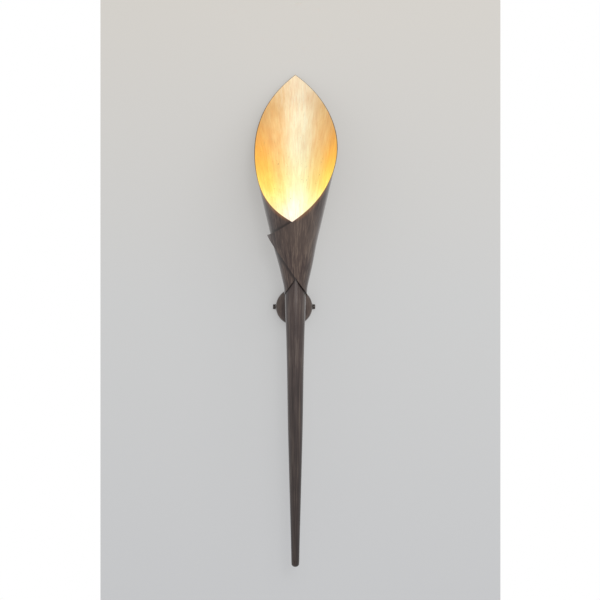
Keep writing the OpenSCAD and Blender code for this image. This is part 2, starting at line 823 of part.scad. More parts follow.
module terminal_block() {
    color([0.92, 0.91, 0.87])
        from_wall()
            difference() {
                translate([-block_l / 2, block_top - block_h, bracket_t])
                    cube([block_l, block_h, block_d]);
                for (way = [-1:1])
                    translate([way * way_pitch, block_top + 1, way_depth])
                        rotate([90, 0, 0]) cylinder(h = block_h + 2, r = insert_r + fit);
                for (way = [-1:1], end = [-1, 1])
                    translate([way * way_pitch,
                               block_top - block_h / 2 + end * (block_h / 2 - way_screw_inset), way_depth])
                        cylinder(h = block_d, r = way_screw_r + loose);
                for (side = [-1, 1])
                    translate([side * way_pitch / 2, block_top - block_h / 2, 0])
                        cylinder(h = block_d + 3, r = m3_r + fit);
            }
}

module terminal_inserts() {
    inset = 1.5;
    color([0.80, 0.66, 0.35])
        from_wall()
            for (way = [-1:1])
                difference() {
                    translate([way * way_pitch, block_top - inset, way_depth])
                        rotate([90, 0, 0]) tube(insert_r, way_r, block_h - 2 * inset);
                    for (end = [-1, 1])
                        translate([way * way_pitch,
                                   block_top - block_h / 2 + end * (block_h / 2 - way_screw_inset),
                                   way_depth])
                            cylinder(h = block_d, r = way_screw_r + fit);
                }
}

module terminal_screws() {
    low = way_depth + lead_r + 2 * fit;
    color([0.80, 0.66, 0.35])
        from_wall()
            for (way = [-1:1], end = [-1, 1])
                translate([way * way_pitch,
                           block_top - block_h / 2 + end * (block_h / 2 - way_screw_inset), low])
                    cylinder(h = bracket_t + block_d - 0.8 - low, r = way_screw_r);
}

module block_screws() {
    color([0.75, 0.75, 0.72])
        from_wall()
            for (side = [-1, 1])
                translate([side * way_pitch / 2, block_top - block_h / 2, bracket_t + block_d])
                    screw(m3_r, block_d + bracket_t / 2, 2.4, 1.6);
}

// ---- leads ----

// From a terminal way, through the nipple, up the stem and the grommet, to a contact.
module supply_lead(side) {
    in_way = block_top - 4;
    bore_x = side * (lead_r + 0.25);
    turn = nipple_front + 7;
    lead([
        [side * way_pitch, -way_depth, in_way],
        [side * way_pitch, -way_depth, block_top + 5],
        [bore_x, -(nipple_end - 4), 0],
        [bore_x, -(nipple_end + 4), 0],
        [bore_x, -turn, 0],
        [bore_x, -torch_offset, turn - nipple_front + 6],
        [bore_x, -torch_offset, seat_top_z + 1],
        [side * pin_pitch / 2, -torch_offset, holder_z - bridge_t - 2],
        [side * pin_pitch / 2, -torch_offset, recess_z - contact_h - 2 * fit]
    ], 3);
}

module lead_live() {
    color([0.45, 0.28, 0.16]) supply_lead(-1);
}

module lead_neutral() {
    color([0.20, 0.35, 0.65]) supply_lead(1);
}

// One earth lead to the bracket's screw and one to the tag under the nut.
module leads_earth() {
    tag_depth = rosette_inside - washer_t - tag_t - 2 * fit;
    screw_depth = bracket_t + lead_r + 2 * fit;
    under_head = earth_screw_z + m4_r + lead_r + 3 * fit;
    block_end = block_top - block_h;
    color([0.45, 0.62, 0.20]) {
        lead([
            [0, -way_depth, block_top - 4],
            [0, -way_depth, block_top + 4.5],
            [0, -tag_depth, block_top + 4.5]
        ], 2);
        lead([
            [0, -way_depth, block_end + 4],
            [0, -way_depth, block_end - 3.6],
            [block_l / 2 + 1.5, -way_depth, block_end - 1.6],
            [block_l / 2 + 1.5, -way_depth, 0],
            [11, -screw_depth - 1, under_head - 3],
            [5, -screw_depth, under_head],
            [-3, -screw_depth, under_head]
        ], 1.8);
    }
}

shade_sheet();
shade_seat();
shade_screws();
stem_tube();
stem_tip();
arm_tube();
arm_saddle();
tie_nipple();
stem_washer();
stem_nut();
rosette_cup();
cup_washer();
earth_tag();
cup_nut();
side_screw_left();
side_screw_right();
wall_bracket();
terminal_block();
terminal_inserts();
terminal_screws();
block_screws();
earth_screw();
lead_live();
lead_neutral();
leads_earth();
lead_grommet();
holder_bridge();
bridge_screws();
holder_screws();
lamp_holder();
holder_contacts();
bulb_base();
bulb_pins();
bulb_glass();
bulb_filament();
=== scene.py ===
import math

import bpy
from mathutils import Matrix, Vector


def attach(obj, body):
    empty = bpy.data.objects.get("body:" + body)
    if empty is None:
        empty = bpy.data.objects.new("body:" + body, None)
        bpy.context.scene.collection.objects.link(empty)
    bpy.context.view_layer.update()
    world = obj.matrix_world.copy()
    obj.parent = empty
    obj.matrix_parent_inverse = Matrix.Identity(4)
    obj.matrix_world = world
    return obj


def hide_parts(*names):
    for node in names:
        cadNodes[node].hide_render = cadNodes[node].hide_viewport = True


print("torch sconce: reading the frame")
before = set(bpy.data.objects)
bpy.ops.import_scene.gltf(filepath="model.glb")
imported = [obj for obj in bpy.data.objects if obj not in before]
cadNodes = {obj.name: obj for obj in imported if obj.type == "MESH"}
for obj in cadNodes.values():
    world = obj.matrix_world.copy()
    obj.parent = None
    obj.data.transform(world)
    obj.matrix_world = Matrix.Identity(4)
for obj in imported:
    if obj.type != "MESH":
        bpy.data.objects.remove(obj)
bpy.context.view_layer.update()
mm = 0.001

# the wall is the plane y = 0 and the torch stands in front of it
torchAxis = {"y": -136 * mm}

# the yaw is in degrees
photoCamera = {
    "place": (-60 * mm, -3086 * mm, 14 * mm), "yaw": -1.347, "lens": 88.5, "sensor": 36,
    "nearest": 10 * mm,
}

bpy.ops.object.select_all(action="DESELECT")
bpy.ops.object.camera_add(
    location=photoCamera["place"],
    rotation=(math.pi / 2, 0, math.radians(photoCamera["yaw"])),
)
camera = bpy.context.object
camera.name = "photoCamera"
camera.data.lens = photoCamera["lens"]
camera.data.sensor_width = photoCamera["sensor"]
camera.data.clip_start = photoCamera["nearest"]
bpy.context.scene.camera = camera


class Reading:
    # a socket that can be used in sums; every operator adds one Math node
    def __init__(self, finish, socket):
        self.finish = finish
        self.socket = socket

    def maths(self, operation, *parts):
        return self.finish.node("Math", {"operation": operation}, dict(enumerate(parts)))

    def __add__(self, other):
        return self.maths("ADD", self, other)

    def __radd__(self, other):
        return self.maths("ADD", other, self)

    def __sub__(self, other):
        return self.maths("SUBTRACT", self, other)

    def __rsub__(self, other):
        return self.maths("SUBTRACT", other, self)

    def __mul__(self, other):
        return self.maths("MULTIPLY", self, other)

    def __rmul__(self, other):
        return self.maths("MULTIPLY", other, self)

    def __truediv__(self, other):
        return self.maths("DIVIDE", self, other)

    def __rtruediv__(self, other):
        return self.maths("DIVIDE", other, self)

    def __abs__(self):
        return self.maths("ABSOLUTE", self)

    def atMost(self, most):
        return self.maths("MINIMUM", self, most)

    def held(self):
        # kept between 0 and 1
        return self.finish.node("Math", {"operation": "ADD", "use_clamp": True}, {0: self, 1: 0.0})

    def above(self, level, soft):
        # 0 below the level, 1 above it, with a soft step between
        return self.finish.node(
            "MapRange",
            {"interpolation_type": "SMOOTHSTEP"},
            {"Value": self, "From Min": level - soft, "From Max": level + soft},
        )


class Finish:
    # the nodes of one material, or of the room round the sconce
    def __init__(self, holder):
        self.holder = holder
        holder.use_nodes = True
        self.tree = holder.node_tree
        self.tree.nodes.clear()

    def node(self, kind, settings=None, sockets=None, output=0):
        made = self.tree.nodes.new("ShaderNode" + kind)
        for key, value in (settings or {}).items():
            if key == "stops":
                self.setStops(made.color_ramp, value)
            else:
                setattr(made, key, value)
        for key, value in (sockets or {}).items():
            if isinstance(value, Reading):
                self.tree.links.new(value.socket, made.inputs[key])
            else:
                made.inputs[key].default_value = value
        return Reading(self, made.outputs[output])

    def setStops(self, ramp, stops):
        while len(ramp.elements) < len(stops):
            ramp.elements.new(1.0)
        for element, (place, colour) in zip(ramp.elements, stops):
            element.position = place
            element.color = (*colour, 1.0) if len(colour) == 3 else colour

    def place(self):
        return self.node("TexCoord", output=3)

    def split(self, axis):
        # one coordinate of the place, in metres
        return self.node("SeparateXYZ", {}, {"Vector": self.place()}, axis)

    def attribute(self, name):
        # a number that the mesh carries
        return self.node("Attribute", {"attribute_name": name}, output=2)

    def stretched(self, scale, shift=(0, 0, 0)):
        return self.node("Mapping", {}, {"Vector": self.place(), "Scale": scale, "Location": shift})

    def around(self, radius, scale, shift):
        # as stretched, but the grain runs down the rolled or tapered surface round the torch axis
        place = self.place()
        out = self.node(
            "VectorMath", {"operation": "MULTIPLY_ADD"},
            {0: place, 1: (1, 1, 0), 2: (0, -torchAxis["y"], 0)},
        )
        out = self.node("VectorMath", {"operation": "NORMALIZE"}, {0: out})
        out = self.node("VectorMath", {"operation": "MULTIPLY"}, {0: out, 1: (radius, radius, 0)})
        both = self.node("VectorMath", {"operation": "MULTIPLY_ADD"}, {0: place, 1: (0, 0, 1), 2: out})
        return self.node("Mapping", {}, {"Vector": both, "Scale": scale, "Location": shift})

    def wayFrom(self, x, z, across=1.0, along=1.0):
        # distance from a point of the front view, in metres, counted more or less each way
        flat = self.node(
            "VectorMath", {"operation": "MULTIPLY_ADD"},
            {0: self.place(), 1: (across, 0, along), 2: (-x * across, 0, -z * along)},
        )
        return self.node("VectorMath", {"operation": "LENGTH"}, {0: flat}, 1)

    def seen(self):
        # 1 for what the camera, a reflection or clear glass shows, and 0 for scattered light
        rays = ("Is Camera Ray", "Is Glossy Ray", "Is Transmission Ray")
        direct, mirrored, through = [self.node("LightPath", output=ray) for ray in rays]
        return (direct + mirrored + through).atMost(1.0)

    def noise(self, vector, scale, detail, rough):
        return self.node(
            "TexNoise", {}, {"Vector": vector, "Scale": scale, "Detail": detail, "Roughness": rough}
        )

    def mixColours(self, amount, first, second, blend="MIX"):
        return self.node(
            "Mix", {"data_type": "RGBA", "blend_type": blend}, {0: amount, 6: first, 7: second}, 2
        )

    def ramp(self, amount, stops):
        return self.node("ValToRGB", {"stops": stops}, {"Fac": amount})

    def bump(self, height, strength, distance):
        return self.node("Bump", {}, {"Height": height, "Strength": strength, "Distance": distance})

    def surface(self, sockets):
        self.output(self.node("BsdfPrincipled", {}, sockets))

    def output(self, shader, kind="OutputMaterial"):
        end = self.tree.nodes.new("ShaderNode" + kind)
        self.tree.links.new(shader.socket, end.inputs["Surface"])


def linear(*levels):
    # 0-255 display levels as a scene colour
    made = [(v / 255 / 12.92) if v <= 10 else ((v / 255 + 0.055) / 1.055) ** 2.4 for v in levels]
    return (*made, 1.0)


def levelBetween(height, low, high):
    # 0 at the low end and 1 at the high end
    return (height - low) / (high - low)


print("torch sconce: finishes")

# each step holds the place of its middle and how soft it is to either side
bronze = {
    "deep": linear(38, 27, 24), "plain": linear(65, 50, 45), "rubbed": linear(103, 87, 76),
    "tones": (0.44, 0.55, 0.66),
    # grains per metre across and along the brushing, and their detail
    "grain": (430, 9, 6.0), "broad": (150, 6, 4.0), "fine": (1300, 40, 3.0),
    "crisp": 0.6, "shift": (3.1, 1.7, 0.4),
    # clouds of the patina: scale, detail and roughness
    "cloud": (14.0, 3.0, 0.5),
    # shares of grain, broad, fine and cloud in the tone, and the tone that contrast turns round
    "shares": (0.5, 0.35, 0.08, 0.17), "middle": 0.55,
    # painted shade: the bronze darkens towards the foot, standing in for the dimmer light that reaches it
    # low down
    "foot": (0.44, 0.41, 0.40, 1.0), "paintedFootShadeStep": (-200 * mm, 300 * mm),
    # painted shade beside an edge that lies over the bronze, wider and fainter than the line: way from
    # the edge, softness and depth
    "jointShade": (8.0 * mm, 7.0 * mm, 0.2),
    "shadow": linear(30, 18, 15),
    "metal": 0.25, "shine": 0.15, "rough": 0.34, "roughSpread": 0.26,
    "lacquer": 0.5, "lacquerRough": 0.17, "bloom": 0.4, "bloomRough": 0.4,
    # shares of broad and fine in the relief, then its strength and height
    "relief": (0.6, 0.3), "bump": (0.3, 0.5 * mm),
}

# what each piece changes: "around" is the radius that the grain is laid round, "short" makes the
# grain shorter, "run" is the axis of the brushing, 0 to 2, "contrast" and "tint" change the tone
plainBronze = {"short": 3.0}
armBronze = {"short": 3.0, "run": 1}
shadeBronze = {
    "around": 50 * mm, "short": 4.5,
    # painted light: middle of the lighter patch in the front view, its reach and depth, and how softly it
    # ends half way round the sheet
    "paintedLightChange": {"x": 14 * mm, "z": 150 * mm, "step": (44 * mm, 26 * mm), "depth": 0.28, "side": 10 * mm},
    # painted shadow in the joint under the flap's edge: way from the edge, softness and depth
    "line": (4.6 * mm, 2.2 * mm, 0.66),
    # lamp light over the lip: way from the rim, heights where it starts and ends, and its colour
    "spill": {
        "rim": (4.5 * mm, 4.5 * mm), "start": (172 * mm, 8 * mm), "end": (250 * mm, 50 * mm),
        "colour": (0.13, 0.046, 0.008, 1.0),
    },
}
stemBronze = {
    "around": 15 * mm, "short": 1.4, "contrast": 0.8, "tint": (1.02, 1.11, 1.19, 1.0),
    # painted shadow on the stem under the sheet's bottom edge: way from the edge, softness and depth
    "line": (3.6 * mm, 2.4 * mm, 0.66),
}
rosetteBronze = {
    "short": 3.0, "contrast": 0.8, "tint": (0.96, 1.0, 1.06, 1.0),
    # painted shadow of the stem round the arm: its place, shape and depth, and how much painted light
    # lifts the rim
    "paintedShadeAndRimLight": {
        "x": 0, "z": -8 * mm, "across": 1.3, "along": 0.8, "step": (33 * mm, 6 * mm),
        "depth": 0.42, "paintedRimLight": 0.32,
    },
}


def bronzeFinish(name, settings, piece):
    # dark brown patina, wire-brushed from top to bottom, under a thin wax
    made = Finish(bpy.data.materials.new(name))
    grains = []
    for key in ("grain", "broad", "fine"):
        across, along, detail = settings[key]
        scale = [across] * 3
        scale[piece.get("run", 2)] = along * piece["short"]
        if "around" in piece:
            vector = made.around(piece["around"], scale, settings["shift"])
        else:
            vector = made.stretched(scale, settings["shift"])
        grains.append(made.noise(vector, 1.0, detail, settings["crisp"]))
    grain, broad, fine = grains
    cloud = made.noise(made.place(), *settings["cloud"])
    shares, middle = settings["shares"], settings["middle"]
    tone = grain * shares[0] + broad * shares[1] + fine * shares[2] + cloud * shares[3]
    tone = (tone - middle) * piece.get("contrast", 1.0) + middle
    colours = [settings[key] for key in ("deep", "plain", "rubbed")]
    colour = made.ramp(tone, list(zip(settings["tones"], colours)))
    height = made.split(2)
    # painted shade, darker towards the foot
    foot = 1.0 - height.above(*settings["paintedFootShadeStep"])
    colour = made.mixColours(foot, colour, settings["foot"], "MULTIPLY")
    colour = made.mixColours(1.0, colour, piece.get("tint", (1, 1, 1, 1)), "MULTIPLY")
    glow = (0, 0, 0, 1)
    if "paintedLightChange" in piece:
        # painted light: the front flap is made lighter in a patch right of its middle, standing in for
        # light from the right
        paintedLightChange = piece["paintedLightChange"]
        way = made.wayFrom(paintedLightChange["x"], paintedLightChange["z"]) + made.split(1).above(torchAxis["y"], paintedLightChange["side"])
        amount = (1.0 - way.above(*paintedLightChange["step"])) * paintedLightChange["depth"]
        colour = made.mixColours(amount, colour, settings["rubbed"])
    if "line" in piece:
        # painted shadow in the joint under an edge of the sheet, and painted shade beside it
        reach = abs(made.attribute("edgeReach"))
        dark = 0.0
        for wide, soft, depth in (piece["line"], settings["jointShade"]):
            dark = (1.0 - reach.above(wide, soft)) * depth + dark
        colour = made.mixColours(dark, colour, settings["shadow"])
    if "paintedShadeAndRimLight" in piece:
        # painted shadow round the arm, where the stem shades the rosette, and painted light on the rim
        paintedShadeAndRimLight = piece["paintedShadeAndRimLight"]
        way = made.wayFrom(paintedShadeAndRimLight["x"], paintedShadeAndRimLight["z"], paintedShadeAndRimLight["across"], paintedShadeAndRimLight["along"])
        colour = made.mixColours(way.above(*paintedShadeAndRimLight["step"]) * paintedShadeAndRimLight["paintedRimLight"], colour, settings["rubbed"])
        amount = (1.0 - way.above(*paintedShadeAndRimLight["step"])) * paintedShadeAndRimLight["depth"]
        colour = made.mixColours(amount, colour, settings["shadow"])
    if "spill" in piece:
        # a little of the lamp light spills over the lip of the sheet
        spill = piece["spill"]
        rim = made.attribute("rimReach")
        low = height.above(*spill["start"]) * (1.0 - height.above(*spill["end"]))
        glow = made.mixColours((1.0 - rim.above(*spill["rim"])) * low, glow, spill["colour"])
    relief = settings["relief"]
    made.surface(
        {
            "Base Color": colour,
            "Metallic": settings["metal"],
            "Specular IOR Level": settings["shine"],
            "Roughness": settings["rough"] + broad * settings["roughSpread"],
            "Coat Weight": settings["lacquer"],
            "Coat Roughness": settings["lacquerRough"],
            "Sheen Weight": settings["bloom"],
            "Sheen Roughness": settings["bloomRough"],
            "Emission Color": glow,
            "Emission Strength": 1.0 if "spill" in piece else 0.0,
            "Normal": made.bump(grain + broad * relief[0] + fine * relief[1], *settings["bump"]),
        }
    )
    return made.holder


# a level is 0 at the bottom of the leaf and 1 at its tip, a side is 0 down the middle and about 1
# at the right outline, and each step holds the place of its middle and how soft it is
goldLeaf = {
    "tones": [
        (0.36, linear(188, 141, 83)), (0.50, linear(197, 156, 96)), (0.64, linear(204, 170, 112)),
    ],
    # shares of streak, wipe and patch in the tone
    "shares": (0.5, 0.4, 0.1),
    # noises that run down the sheet: grain each way, shift, detail and roughness
    "grainRadius": 50 * mm,
    "streak": ((620, 620, 38), (0, 0, 0), 5.0, 0.6),
    "wipe": ((190, 190, 22), (1.3, 0.2, 0.9), 4.0, 0.6),
    "patch": (24.0, 3.0, 0.5),
    # specks where the size shows through, fewer towards the tip
    "specks": {
        "noise": ((520, 520, 210), (0, 0, 0), 2.0, 0.5), "step": (0.70, 0.03), "fade": (0.62, 0.25),
        "colour": linear(96, 62, 30), "depth": 0.5, "dim": 0.35,
    },
    # place of the leaf: its bottom and top, the point of the cone, its spread and its middle
    "bottom": 70 * mm, "top": 486 * mm, "apex": -52 * mm, "spread": 0.2382, "middle": -2 * mm,
    # the bright ridge stands this far left of the middle low down, and bends to the right at its step
    "ridge": {"left": 0.09, "step": (0.33, 0.05), "bend": 0.20},
    "shoulderStep": (0.27, 0.22), "flankStep": (0.63, 0.18),
    # fresh strokes are pale, most of all near the tip
    "strokes": {
        "noise": ((420, 420, 24), (0.7, 2.2, 0.1), 2.0, 0.5), "step": (0.60, 0.08),
        "least": 0.2, "more": 0.4, "moreStep": (0.80, 0.12),
    },
    # blotches and a deeper colour on the left flank
    "blotches": {
        "grain": (75, 75, 50), "shift": (0.2, 0.9, 0.4), "detail": 4.0, "rough": 0.6,
        "step": (-0.20, 0.30), "contrast": 2.0, "deeper": 0.30,
    },
    # the tone moves the glow from warm to pale
    "contrast": 2.4, "warm": (1.02, 0.84, 0.74, 1.0), "pale": (1.02, 1.16, 1.26, 1.0),
    # fine scratches, most of all near the tip
    "scratches": {
        "noise": ((1150, 1150, 60), (2.1, 0.4, 0.6), 3.0, 0.6), "step": (0.56, 0.06),
        "least": 0.04, "more": 0.12, "moreStep": (0.70, 0.20),
    },
    # the left side is a little dimmer
    "dimmer": {"step": (-0.40, 0.25), "depth": 0.08},
    # the bare border beside the rim, wider low down
    "border": {"wide": 0.6 * mm, "more": 0.8 * mm, "step": (0.42, 0.08), "soft": 0.3 * mm},
    "glow": 1.0, "metal": 0.5, "rough": 0.40, "roughSpread": 0.2, "bump": (0.25, 0.4 * mm),
    # painted lamp light on the leaf from the seat to the tip: on its ridge, beside it, on its flanks
    "ridgeGlow": [
        (0.02, (0.0, 0.0, 0.0)), (0.10, (0.50, 0.50, 0.40)), (0.28, (0.39, 0.60, 0.74)),
        (0.33, (0.39, 0.64, 0.67)), (0.37, (0.40, 0.66, 0.58)), (0.41, (0.38, 0.64, 0.47)),
        (0.46, (0.37, 0.57, 0.38)), (0.61, (0.32, 0.46, 0.39)), (0.80, (0.38, 0.48, 0.42)),
        (0.87, (0.27, 0.31, 0.29)), (1.00, (0.36, 0.45, 0.43)),
    ],
    "shoulderGlow": [
        (0.02, (0.0, 0.0, 0.0)), (0.10, (0.50, 0.45, 0.30)), (0.30, (0.46, 0.70, 0.52)),
        (0.36, (0.46, 0.66, 0.33)), (0.41, (0.43, 0.53, 0.20)), (0.46, (0.40, 0.40, 0.14)),
        (0.52, (0.39, 0.32, 0.12)), (0.66, (0.33, 0.23, 0.11)), (0.76, (0.28, 0.21, 0.11)),
        (0.82, (0.19, 0.145, 0.085)), (1.00, (0.25, 0.28, 0.25)),
    ],
    "flankGlow": [
        (0.02, (0.0, 0.0, 0.0)), (0.10, (0.50, 0.40, 0.20)), (0.33, (0.50, 0.70, 0.33)),
        (0.37, (0.52, 0.70, 0.24)), (0.41, (0.56, 0.61, 0.13)), (0.46, (0.56, 0.50, 0.07)),
        (0.52, (0.54, 0.36, 0.03)), (0.57, (0.51, 0.26, 0.01)), (0.66, (0.37, 0.155, 0.01)),
        (0.71, (0.27, 0.11, 0.01)), (0.77, (0.16, 0.08, 0.03)), (1.00, (0.11, 0.10, 0.08)),
    ],
    # the bare border and the cut edge catch the glow low down
    "edgeGlow": [
        (0.20, (0.50, 0.23, 0.05)), (0.38, (0.42, 0.18, 0.035)), (0.50, (0.06, 0.025, 0.0)),
        (0.60, (0, 0, 0)),
    ],
}


def goldFinish(name, settings):
    made = Finish(bpy.data.materials.new(name))

    def drawn(noise):
        # a noise whose grain runs down the sheet
        grain, shift, detail, rough = noise
        return made.noise(made.around(settings["grainRadius"], grain, shift), 1.0, detail, rough)

    across, height = made.split(0), made.split(2)
    level = levelBetween(height, settings["bottom"], settings["top"])
    side = (across - settings["middle"]) / ((height - settings["apex"]) * settings["spread"])

    # wiped streaks, the clouds of the leaves, and the specks
    streak = drawn(settings["streak"])
    wipe = drawn(settings["wipe"])
    patch = made.noise(made.place(), *settings["patch"])
    shares = settings["shares"]
    tone = streak * shares[0] + wipe * shares[1] + patch * shares[2]
    specks = settings["specks"]
    speck = drawn(specks["noise"]).above(*specks["step"]) * (1.0 - level.above(*specks["fade"]))
    leaf = made.mixColours(speck * specks["depth"], made.ramp(tone, settings["tones"]), specks["colour"])

    # painted light: the glow of the lamp on the leaf, brightest low down and along the ridge
    ridge = settings["ridge"]
    away = abs(side + ridge["left"] - level.above(*ridge["step"]) * ridge["bend"])
    ridgeGlow, shoulderGlow, flankGlow, edgeGlow = [
        made.ramp(level, settings[key]) for key in ("ridgeGlow", "shoulderGlow", "flankGlow", "edgeGlow")
    ]
    glow = made.mixColours(away.above(*settings["shoulderStep"]), ridgeGlow, shoulderGlow)
    glow = made.mixColours(away.above(*settings["flankStep"]), glow, flankGlow)

    # the streaks change its yellow and blue more than its red
    strokes = settings["strokes"]
    fresh = strokes["least"] + level.above(*strokes["moreStep"]) * strokes["more"]
    fresh = drawn(strokes["noise"]).above(*strokes["step"]) * fresh
    blotches = settings["blotches"]
    blotch = made.stretched(blotches["grain"], blotches["shift"])
    blotch = made.noise(blotch, 1.0, blotches["detail"], blotches["rough"])
    left = 1.0 - side.above(*blotches["step"])
    deeper = (blotch - 0.5) * blotches["contrast"] - blotches["deeper"]
    pale = (tone - 0.5) * settings["contrast"] + 0.5 + fresh + left * deeper
    tint = made.mixColours(pale.held(), settings["warm"], settings["pale"])
    glow = made.mixColours(1.0, glow, tint, "MULTIPLY")

    # scratches, specks and the left side take a little of the glow away
    scratches = settings["scratches"]
    scratch = scratches["least"] + level.above(*scratches["moreStep"]) * scratches["more"]
    scratch = drawn(scratches["noise"]).above(*scratches["step"]) * scratch
    dimmer = (1.0 - side.above(*settings["dimmer"]["step"])) * settings["dimmer"]["depth"]
    paintedLightChange = (1.0 - speck * specks["dim"]) * (1.0 - scratch) * (1.0 - dimmer)
    glow = made.node("VectorMath", {"operation": "SCALE"}, {0: glow, "Scale": paintedLightChange})

    # the leaf stops just short of the edge of the sheet
    border = settings["border"]
    bare = border["wide"] + (1.0 - level.above(*border["step"])) * border["more"]
    leafed = (made.attribute("rimReach") - bare).above(0.0, border["soft"])
    made.surface(
        {
            "Base Color": made.mixColours(leafed, bronze["deep"], leaf),
            "Metallic": settings["metal"],
            "Roughness": settings["rough"] + streak * settings["roughSpread"],
            "Emission Color": made.mixColours(leafed, edgeGlow, glow),
            "Emission Strength": settings["glow"],
            "Normal": made.bump(streak + wipe, *settings["bump"]),
        }
    )
    return made.holder


cutEdge = {
    "dark": linear(30, 22, 20), "light": linear(56, 44, 38), "tones": (0.35, 0.68),
    "grain": (700, 700, 120), "detail": 4.0, "crisp": 0.6,
    "metal": 0.3, "rough": 0.35, "roughSpread": 0.2, "bump": (0.3, 0.3 * mm),
    # level of the leaf above which the glow shows
    "glowStep": (0.25, 0.01),
}


def edgeFinish(name, settings, leaf):
    # cut edge of the sheet, which shows the glow beside the lamp
    made = Finish(bpy.data.materials.new(name))
    spots = made.noise(made.stretched(settings["grain"]), 1.0, settings["detail"], settings["crisp"])
    level = levelBetween(made.split(2), leaf["bottom"], leaf["top"])
    glow = made.ramp(level, leaf["edgeGlow"])
    colours = (settings["dark"], settings["light"])
    made.surface(
        {
            "Base Color": made.ramp(spots, list(zip(settings["tones"], colours))),
            "Metallic": settings["metal"],
            "Roughness": settings["rough"] + spots * settings["roughSpread"],
            "Emission Color": made.mixColours(level.above(*settings["glowStep"]), (0, 0, 0, 1), glow),
            "Emission Strength": leaf["glow"],
            "Normal": made.bump(spots, *settings["bump"]),
        }
    )
    return made.holder


# how the small fittings are mottled: spots and clouds, their shares, and the places of the colours
mottling = {
    "detail": 5.0, "crisp": 0.6, "cloud": (60.0, 3.0, 0.5), "shares": (0.6, 0.4),
    "tones": (0.35, 0.68), "roughSpread": 0.2, "bump": 0.3,
}

# light and dark colour, metal, roughness, grains per metre each way, height of the relief in mm,
# and how thick the glaze is, from 0 to 1
fittingFinishes = {
    "darkScrew": (linear(84, 76, 72), linear(36, 31, 30), 0.5, 0.30, (900, 900, 900), 0.3, 0.0),
    "zinc": (linear(206, 207, 204), linear(150, 152, 152), 0.9, 0.36, (500, 500, 500), 0.3, 0.0),
    "castAluminium": (
        linear(176, 172, 164), linear(112, 108, 100), 0.85, 0.42, (800, 800, 90), 0.3, 0.0,
    ),
    "brass": (linear(214, 182, 112), linear(150, 112, 56), 0.9, 0.30, (650, 650, 650), 0.3, 0.0),
    "ceramic": (linear(244, 241, 233), linear(226, 220, 206), 0.0, 0.30, (260, 260, 260), 0.2, 0.3),
    "blockPlastic": (
        linear(240, 238, 229), linear(220, 216, 204), 0.0, 0.48, (1200, 1200, 1200), 0.3, 0.0,
    ),
    "rubber": (linear(44, 43, 42), linear(22, 22, 22), 0.0, 0.62, (1500, 1500, 1500), 0.3, 0.0),
    "brownSleeve": (linear(132, 86, 54), linear(96, 60, 36), 0.0, 0.40, (900, 900, 900), 0.3, 0.0),
    "blueSleeve": (linear(70, 110, 176), linear(44, 78, 140), 0.0, 0.40, (900, 900, 900), 0.3, 0.0),
    "earthSleeve": (linear(176, 196, 70), linear(96, 148, 56), 0.0, 0.40, (900, 900, 900), 0.3, 0.0),
}


def plainFinish(name, settings, look):
    # one mottled colour with a fine surface, for the small fittings
    light, dark, metal, rough, grain, relief, glaze = look
    made = Finish(bpy.data.materials.new(name))
    spots = made.noise(made.stretched(grain), 1.0, settings["detail"], settings["crisp"])
    cloud = made.noise(made.place(), *settings["cloud"])
    tone = spots * settings["shares"][0] + cloud * settings["shares"][1]
    made.surface(
        {
            "Base Color": made.ramp(tone, list(zip(settings["tones"], (dark, light)))),
            "Metallic": metal,
            "Roughness": rough + (spots - 0.5) * settings["roughSpread"],
            "Coat Weight": glaze,
            "Normal": made.bump(spots, settings["bump"], relief * mm),
        }
    )
    return made.holder


bulbGlass = {
    "colour": (1.0, 0.97, 0.90, 1.0), "index": 1.47, "smear": (90.0, 2.0, 0.5), "rough": 0.08,
    "glowColour": (1.0, 0.82, 0.52, 1.0), "glow": 0.3,
}


def glassFinish(name, settings):
    # clear glass with a faint smear, lit from within
    made = Finish(bpy.data.materials.new(name))
    smear = made.noise(made.place(), *settings["smear"])
    made.surface(
        {
            "Base Color": settings["colour"],
            "Roughness": smear * settings["rough"],
            "Transmission Weight": 1.0,
            "IOR": settings["index"],
            "Emission Color": settings["glowColour"],
            "Emission Strength": settings["glow"],
        }
    )
    return made.holder


bulbWire = {
    "colour": (0.9, 0.7, 0.4, 1.0), "turns": 260.0, "glow": 12.0,
    "heat": [(0.2, (1.0, 0.62, 0.25)), (0.8, (1.0, 0.90, 0.66))],
}


def filamentFinish(name, settings):
    # glowing wire, banded by its turns
    made = Finish(bpy.data.materials.new(name))
    turns = made.node(
        "TexWave",
        {"wave_type": "BANDS", "bands_direction": "Z"},
        {"Vector": made.place(), "Scale": settings["turns"]},
    )
    made.surface(
        {
            "Base Color": settings["colour"],
            "Emission Color": made.ramp(turns, settings["heat"]),
            "Emission Strength": settings["glow"],
        }
    )
    return made.holder


finishes = {
    "bronze": bronzeFinish("bronze", bronze, plainBronze),
    "armBronze": bronzeFinish("armBronze", bronze, armBronze),
    "shadeBronze": bronzeFinish("shadeBronze", bronze, shadeBronze),
    "stemBronze": bronzeFinish("stemBronze", bronze, stemBronze),
    "rosetteBronze": bronzeFinish("rosetteBronze", bronze, rosetteBronze),
    "bronzeEdge": edgeFinish("bronzeEdge", cutEdge, goldLeaf),
    "goldLeaf": goldFinish("goldLeaf", goldLeaf),
    "glass": glassFinish("glass", bulbGlass),
    "filament": filamentFinish("filament", bulbWire),
}
for finishName, finishLook in fittingFinishes.items():
    finishes[finishName] = plainFinish(finishName, mottling, finishLook)

# corners closer than "merge" become one and a ring of no radius is "point" wide, in metres; the
# angles are in degrees, and a bevel goes on every edge sharper than its angle
workshop = {
    "merge": 2e-6, "point": 1e-6, "smooth": 40, "smoothFitting": 35, "flat": 0.5,
    "bevelAngle": 32, "bevelSegments": 2,
}


